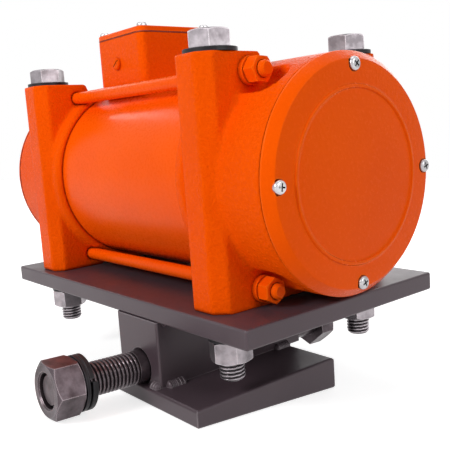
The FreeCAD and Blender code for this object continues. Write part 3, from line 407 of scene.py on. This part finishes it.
def newTree(name, lengths, counts=()):
    tree = bpy.data.node_groups.new(name, "GeometryNodeTree")
    for side in ("INPUT", "OUTPUT"):
        tree.interface.new_socket("Geometry", in_out=side, socket_type="NodeSocketGeometry")
    inputs = (("NodeSocketFloat", lengths), ("NodeSocketInt", counts), ("NodeSocketMaterial", ("Finish",)))
    for kind, socketNames in inputs:
        for socketName in socketNames:
            tree.interface.new_socket(socketName, in_out="INPUT", socket_type=kind)
    return tree, addNode(tree, "NodeGroupInput").outputs


def setOnPoints(tree, given, shape, scale=None):
    spots = addNode(tree, "GeometryNodeInstanceOnPoints")
    tree.links.new(given["Geometry"], spots.inputs["Points"])
    tree.links.new(shape, spots.inputs["Instance"])
    facing = addNode(tree, "GeometryNodeInputNamedAttribute", data_type="FLOAT_VECTOR")
    facing.inputs["Name"].default_value = "facing"
    aim = addNode(tree, "FunctionNodeAlignRotationToVector", axis="Z")
    tree.links.new(facing.outputs["Attribute"], aim.inputs["Vector"])
    tree.links.new(aim.outputs[0], spots.inputs["Rotation"])
    if scale:
        tree.links.new(scale, spots.inputs["Scale"])
    real = addNode(tree, "GeometryNodeRealizeInstances")
    tree.links.new(spots.outputs[0], real.inputs[0])
    painted = addNode(tree, "GeometryNodeSetMaterial")
    tree.links.new(real.outputs[0], painted.inputs[0])
    tree.links.new(given["Finish"], painted.inputs["Material"])
    tree.links.new(painted.outputs[0], addNode(tree, "NodeGroupOutput").inputs[0])


def pointsObject(spots):
    mesh = bpy.data.meshes.new("spots")
    mesh.from_pydata([place for place, facing in spots], [], [])
    facingLayer = mesh.attributes.new("facing", "FLOAT_VECTOR", "POINT")
    for index, (place, facing) in enumerate(spots):
        facingLayer.data[index].vector = facing
    holder = bpy.data.objects.new("spots", mesh)
    bpy.context.scene.collection.objects.link(holder)
    return holder


def grown(tree, spots, sizes, finish):
    holder = pointsObject(spots)
    modifier = holder.modifiers.new("grow", "NODES")
    modifier.node_group = tree
    keys = {item.name: item.identifier for item in tree.interface.items_tree if item.in_out == "INPUT"}
    for name, value in sizes.items():
        modifier[keys[name]] = value
    modifier[keys["Finish"]] = finish
    return settled(holder)


# screw threads: a tube of rows whose radius follows the helix

threadForm = {"crest": 0.35, "root": 0.88}    # shares of half a pitch where the flank begins and ends


def makeThreadTree():
    tree, given = newTree("threadedEnds", ("Radius", "Length", "Pitch", "Depth", "Bevel"), ("Around", "Rows"))
    grid = addNode(tree, "GeometryNodeMeshGrid")
    grid.inputs["Size X"].default_value = 1
    grid.inputs["Size Y"].default_value = 1
    tree.links.new(calc(tree, "ADD", given["Around"], 1), grid.inputs["Vertices X"])
    tree.links.new(calc(tree, "ADD", given["Rows"], 1), grid.inputs["Vertices Y"])
    apart = addNode(tree, "ShaderNodeSeparateXYZ")
    tree.links.new(addNode(tree, "GeometryNodeInputPosition").outputs[0], apart.inputs[0])
    turn = calc(tree, "ADD", apart.outputs["X"], 0.5)
    reach = calc(tree, "MULTIPLY", calc(tree, "ADD", apart.outputs["Y"], 0.5), given["Length"])
    phase = calc(tree, "FRACT", calc(tree, "SUBTRACT", calc(tree, "DIVIDE", reach, given["Pitch"]), turn))
    flank = calc(tree, "ABSOLUTE", calc(tree, "SUBTRACT", calc(tree, "MULTIPLY", phase, 2), 1))
    groove = spread(tree, flank, threadForm["crest"], threadForm["root"], 0, 1)
    # the groove, the bevelled end and the closed start each take from the radius
    cut = calc(tree, "MULTIPLY", groove, given["Depth"])
    near = calc(tree, "SUBTRACT", given["Length"], reach)
    bevel = calc(tree, "MAXIMUM", calc(tree, "SUBTRACT", given["Bevel"], near), 0)
    start = calc(tree, "MULTIPLY", calc(tree, "LESS_THAN", reach, tiny), given["Depth"])
    taken = calc(tree, "MAXIMUM", calc(tree, "MAXIMUM", cut, bevel), start)
    radius = calc(tree, "SUBTRACT", given["Radius"], taken)
    angle = calc(tree, "MULTIPLY", turn, 2 * math.pi)
    place = addNode(tree, "ShaderNodeCombineXYZ")
    tree.links.new(calc(tree, "MULTIPLY", radius, calc(tree, "COSINE", angle)), place.inputs["X"])
    tree.links.new(calc(tree, "MULTIPLY", radius, calc(tree, "SINE", angle)), place.inputs["Y"])
    tree.links.new(reach, place.inputs["Z"])
    marked = addNode(tree, "GeometryNodeStoreNamedAttribute", data_type="FLOAT", domain="POINT")
    marked.inputs["Name"].default_value = "groove"
    tree.links.new(grid.outputs["Mesh"], marked.inputs["Geometry"])
    tree.links.new(groove, marked.inputs["Value"])
    moved = addNode(tree, "GeometryNodeSetPosition")
    tree.links.new(marked.outputs["Geometry"], moved.inputs["Geometry"])
    tree.links.new(place.outputs[0], moved.inputs["Position"])
    joined = addNode(tree, "GeometryNodeJoinGeometry")
    tree.links.new(moved.outputs[0], joined.inputs[0])
    for height, size in ((0.0, given["Depth"]), (given["Length"], given["Bevel"])):
        cap = addNode(tree, "GeometryNodeMeshCircle", fill_type="TRIANGLE_FAN")
        tree.links.new(given["Around"], cap.inputs["Vertices"])
        tree.links.new(calc(tree, "SUBTRACT", given["Radius"], size), cap.inputs["Radius"])
        lift = addNode(tree, "GeometryNodeTransform")
        tree.links.new(cap.outputs[0], lift.inputs["Geometry"])
        offset = addNode(tree, "ShaderNodeCombineXYZ")
        feed(tree, offset.inputs["Z"], height)
        tree.links.new(offset.outputs[0], lift.inputs["Translation"])
        tree.links.new(lift.outputs[0], joined.inputs[0])
    closed = addNode(tree, "GeometryNodeMergeByDistance")
    closed.inputs["Distance"].default_value = 2 * tiny
    tree.links.new(joined.outputs[0], closed.inputs[0])
    setOnPoints(tree, given, closed.outputs[0])
    return tree


threadTree = makeThreadTree()
insideNut = 0.006    # how far a thread starts within its nut
tilt = math.radians(2.5)
clampWay = Vector((0, -math.cos(tilt), math.sin(tilt)))
clampRadius = 0.01111
boltLow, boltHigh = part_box("clamp_bolt")
clampMiddle = Vector(((boltLow.x + boltHigh.x) / 2, 0, -0.0494))
footPlaces = [(x, y) for x in (-0.1085, 0.1085) for y in (-0.0598, 0.0598)]
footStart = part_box("foot_nuts")[0].z + insideNut
rodPlaces = [(y, shaftHeight + z) for y in (-0.044, 0.044) for z in (-0.0645, 0.0645)]
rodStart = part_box("tie_rod_nuts")[1].x - insideNut
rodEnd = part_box("tie_rods")[1].x - 0.0014

# ends hold where a thread starts, its direction and its length; turns hold a bolt's axis, its reach and degrees
threadSets = {
    "clampBoltThreaded": {
        "node": "clamp_bolt", "radius": clampRadius, "pitch": inch / 9, "depth": 0.0015, "bevel": 0.0021,
        "around": 72, "perTurn": 12,
        "ends": [(clampMiddle + clampWay * 0.0925, clampWay, 0.0587)],
    },
    "footBoltsThreaded": {
        "node": "foot_bolts", "radius": 0.00794, "pitch": inch / 11, "depth": 0.0013, "bevel": 0.0016,
        "around": 48, "perTurn": 10,
        "ends": [(Vector((x, y, footStart)), -up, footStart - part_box("foot_bolts")[0].z) for x, y in footPlaces],
        "turns": [(Vector((0.1085, -0.0598, 0)), 0.018, -15)],
    },
    "tieRodsThreaded": {
        "node": "tie_rods", "radius": 0.00476, "pitch": inch / 16, "depth": 0.0003, "bevel": 0.0013,
        "around": 36, "perTurn": 8,
        "ends": [(Vector((side * rodStart, y, z)), along * side, rodEnd - rodStart)
                 for side in (-1, 1) for y, z in rodPlaces],
    },
}


def makeThreaded(pieceName, node, radius, pitch, depth, bevel, around, perTurn, ends, turns=()):
    mesh, shape = mergedCopy(node)
    for middle, reach, degrees in turns:
        near = [vertex for vertex in shape.verts if (vertex.co - middle).to_2d().length < reach]
        bmesh.ops.rotate(shape, verts=near, cent=middle, matrix=Matrix.Rotation(math.radians(degrees), 3, "Z"))
    for start, way, length in ends:
        near = [face for face in shape.faces
                if (face.calc_center_median() - start).cross(way).length < radius * 3]
        # dictionaries, unlike sets, keep the same order each run
        corners = dict.fromkeys(vertex for face in near for vertex in face.verts)
        lines = dict.fromkeys(edge for face in near for edge in face.edges)
        bmesh.ops.bisect_plane(shape, geom=[*corners, *lines, *near], plane_co=start, plane_no=way,
                               clear_outer=True, dist=tiny / 10)
    rims = [edge for edge in shape.edges if edge.is_boundary]
    bmesh.ops.holes_fill(shape, edges=rims, sides=0)
    length = ends[0][2]
    helix = grown(threadTree, [(start, way) for start, way, span in ends], {
        "Radius": radius, "Length": length, "Pitch": pitch, "Depth": depth, "Bevel": bevel,
        "Around": around, "Rows": int(length / pitch * perTurn)}, finishFor(node))
    shape.from_mesh(helix)
    bmesh.ops.recalc_face_normals(shape, faces=shape.faces)
    shape.to_mesh(mesh)
    shape.free()
    dropOldNormals(mesh)
    standFor(mesh, pieceName, node).data.set_sharp_from_angle(angle=math.radians(28))


for pieceName, settings in threadSets.items():
    makeThreaded(pieceName, **settings)


# the clamp's lock washer: a split ring sprung out of flat, within the washer's own height

lockWasher = {
    "node": "clamp_lock_washer", "place": 0.1324, "inner": 0.01135, "outer": 0.018, "height": 0.0056,
    "section": 0.0037, "rounding": 0.0005, "gap": 7.0, "split": 18, "rows": 120,
}


def makeLockWasher(pieceName, node, place, inner, outer, height, section, rounding, gap, split, rows):
    # gap and split are in degrees: the width of the split, and how far it is turned from the side
    start = clampMiddle + clampWay * place
    way = -clampWay
    low = way.cross(along)
    outline = [
        (inner, rounding), (inner + rounding, 0), (outer - rounding, 0), (outer, rounding),
        (outer, section - rounding), (outer - rounding, section),
        (inner + rounding, section), (inner, section - rounding),
    ]
    shape = bmesh.new()
    rings = []
    for row in range(rows + 1):
        share = row / rows
        angle = math.radians(gap / 2 - split + (360 - gap) * share)
        out = along * math.cos(angle) + low * math.sin(angle)
        rise = (height - section) * (1 - share)
        rings.append([shape.verts.new(start + out * radius + way * (rise + level)) for radius, level in outline])
    for first, second in zip(rings, rings[1:]):
        for a in range(len(outline)):
            b = (a + 1) % len(outline)
            shape.faces.new((first[a], first[b], second[b], second[a]))
    shape.faces.new(rings[0])
    shape.faces.new(list(reversed(rings[-1])))
    bmesh.ops.recalc_face_normals(shape, faces=shape.faces)
    mesh = bpy.data.meshes.new(pieceName)
    shape.to_mesh(mesh)
    shape.free()
    smoothed(standFor(mesh, pieceName, node), 30)


makeLockWasher("splitLockWasher", **lockWasher)


# weld beads: a row of overlapping drops along each corner, cut back to the corner's two faces

blockLow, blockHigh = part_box("spacer_block")
wedgeLow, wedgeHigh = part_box("wedge_plate")
beads = {"node": "weld_beads", "size": blockLow.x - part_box("weld_beads")[0].x, "step": 0.0013, "flat": 0.5}
dropGirth = {"Min": 0.90, "Max": 1.0, "Seed": 4}


def beadRuns(size):
    # start, end, and the two directions that the bead fills
    low, high, back = blockLow.z, blockHigh.z, wedgeHigh.y
    runs = []
    for level, lift in ((low, up), (high, -up)):
        for near, far in ((blockLow.y + 2 * size, blockLow.y + 3.5 * size), (back - 2.5 * size, back - size)):
            runs.append((Vector((blockHigh.x, far, level)), Vector((blockHigh.x, near, level)), along, lift))
        runs.append((Vector((blockLow.x, back - 4 * size, level)),
                     Vector((blockLow.x, blockLow.y + 2 * size, level)), -along, lift))
    left = (blockLow.x + size, clampMiddle.x - clampRadius - 1.5 * size)
    right = (clampMiddle.x + clampRadius + 1.5 * size, blockHigh.x - size)
    for start, end in (left, right):
        for y, out, lift in ((blockLow.y, Vector((0, -1, 0)), up), (back, Vector((0, 1, 0)), -up)):
            runs.append((Vector((start, y, low)), Vector((end, y, low)), out, lift))
    return runs


def makeDropTree():
    tree, given = newTree("weldDrops", ("Size", "Flat"))
    drop = addNode(tree, "GeometryNodeMeshUVSphere")
    drop.inputs["Segments"].default_value = 24
    drop.inputs["Rings"].default_value = 12
    tree.links.new(given["Size"], drop.inputs["Radius"])
    swell = addNode(tree, "FunctionNodeRandomValue", data_type="FLOAT")
    for key, value in dropGirth.items():
        [socket for socket in swell.inputs if socket.name == key and socket.enabled][0].default_value = value
    girth = [socket for socket in swell.outputs if socket.enabled][0]
    size = addNode(tree, "ShaderNodeCombineXYZ")
    tree.links.new(girth, size.inputs["X"])
    tree.links.new(girth, size.inputs["Y"])
    tree.links.new(given["Flat"], size.inputs["Z"])
    setOnPoints(tree, given, drop.outputs[0], size.outputs[0])
    return tree


def makeBeads(pieceName, node, size, step, flat):
    dropTree = makeDropTree()
    whole = bmesh.new()
    for start, end, out, lift in beadRuns(size):
        length = (end - start).length
        way = (end - start) / length
        first, last = -size * (1 - flat), length + size * (1 - flat)
        count = max(2, round((last - first) / step) + 1)
        spots = [(start + way * (first + (last - first) * number / (count - 1)), way) for number in range(count)]
        mesh = grown(dropTree, spots, {"Size": size, "Flat": flat}, finishFor(node))
        shape = bmesh.new()
        shape.from_mesh(mesh)
        for normal in (out, lift):
            everything = [*shape.verts, *shape.edges, *shape.faces]
            bmesh.ops.bisect_plane(shape, geom=everything, plane_co=start, plane_no=normal, clear_inner=True,
                                   dist=tiny / 10)
            bmesh.ops.holes_fill(shape, edges=[edge for edge in shape.edges if edge.is_boundary], sides=0)
        bmesh.ops.recalc_face_normals(shape, faces=shape.faces)
        shape.to_mesh(mesh)
        shape.free()
        whole.from_mesh(mesh)
    mesh = bpy.data.meshes.new(pieceName)
    whole.to_mesh(mesh)
    whole.free()
    smoothed(standFor(mesh, pieceName, node), 40)


makeBeads("rippledBeads", **beads)


# floor, light and camera

floorLook = {
    "slope": math.tan(math.radians(5)), "spot": (0.0455, wedgeHigh.y, wedgeLow.z), "size": 6.0,
    "colour": (0.70, 0.70, 0.70, 1), "roughness": 0.9, "fade": (0.25, 1.0), "glow": (0.70, 1.0),
}


def makeFloor(slope, spot, size, colour, roughness, fade, glow):
    # the wedge's sloping underside rests on it, and it turns white away from the object
    mesh = bpy.data.meshes.new("studioFloor")
    back = Vector((0, slope, 1)).normalized().cross(along)
    corners = [Vector(spot) + along * i * size + back * j * size for i, j in ((-1, -1), (1, -1), (1, 1), (-1, 1))]
    mesh.from_pydata(corners, [], [(0, 1, 2, 3)])
    floor = bpy.data.objects.new("studioFloor", mesh)
    bpy.context.scene.collection.objects.link(floor)
    material, tree, shader, place = newMaterial("paleFloor")
    shader.inputs["Base Color"].default_value = colour
    shader.inputs["Roughness"].default_value = roughness
    shader.inputs["Emission Color"].default_value = (1, 1, 1, 1)
    away = addNode(tree, "ShaderNodeVectorMath", operation="LENGTH")
    tree.links.new(place, away.inputs[0])
    strength = calc(tree, "MULTIPLY", spread(tree, away.outputs["Value"], *fade, *glow), directRays(tree))
    tree.links.new(strength, shader.inputs["Emission Strength"])
    mesh.materials.append(material)


def makeWorld(onObject=0.14, asSeen=1.0):
    world = bpy.data.worlds.new("studio")
    bpy.context.scene.world = world
    world.use_nodes = True
    tree = world.node_tree
    plain = tree.nodes["Background"]
    plain.inputs["Color"].default_value = (1, 1, 1, 1)
    tree.links.new(spread(tree, directRays(tree), 0, 1, onObject, asSeen), plain.inputs["Strength"])


lamps = {
    "keyPanel": {"place": (0.05, -1.20, 0.75), "size": 0.45, "power": 12},
    "sidePanel": {"place": (1.25, 0.10, 0.60), "size": 0.8, "power": 6.4},
    "topPanel": {"place": (-0.1, 0.1, 1.5), "size": 1.0, "power": 4},
    "rearPanel": {"place": (-0.5, 1.2, 0.7), "size": 0.9, "power": 4},
    "spotPanel": {"place": (-1.07, -0.03, 0.74), "size": 0.07, "power": 0.42},
}


def makeLamps(target=Vector((0, 0, 0.06))):
    for name, settings in lamps.items():
        light = bpy.data.lights.new(name, "AREA")
        light.size = settings["size"]
        light.energy = settings["power"]
        lamp = bpy.data.objects.new(name, light)
        bpy.context.scene.collection.objects.link(lamp)
        place = Vector(settings["place"])
        turn = (target - place).to_track_quat("-Z", "Y").to_matrix().to_4x4()
        lamp.matrix_world = Matrix.Translation(place) @ turn


cameraSettings = {
    "place": (0.4224, -0.3094, 0.1088), "forward": (-0.7720, 0.6192, -0.1435),
    "right": (0.6319, 0.7720, -0.0687), "lens": 54.12, "sensor": 36, "nearest": 0.01,
}


def makeCamera(place, forward, right, lens, sensor, nearest):
    view = bpy.data.cameras.new("camera")
    view.lens = lens
    view.sensor_width = sensor
    view.clip_start = nearest
    camera = bpy.data.objects.new("camera", view)
    bpy.context.scene.collection.objects.link(camera)
    forward = Vector(forward).normalized()
    right = Vector(right)
    right = (right - forward * right.dot(forward)).normalized()
    turn = Matrix((right, right.cross(forward), -forward)).transposed()
    camera.matrix_world = Matrix.Translation(place) @ turn.to_4x4()
    bpy.context.scene.camera = camera


makeFloor(**floorLook)
makeWorld()
makeLamps()
makeCamera(**cameraSettings)
bpy.context.scene.view_settings.view_transform = "Standard"
print("floor, lamps and camera set")
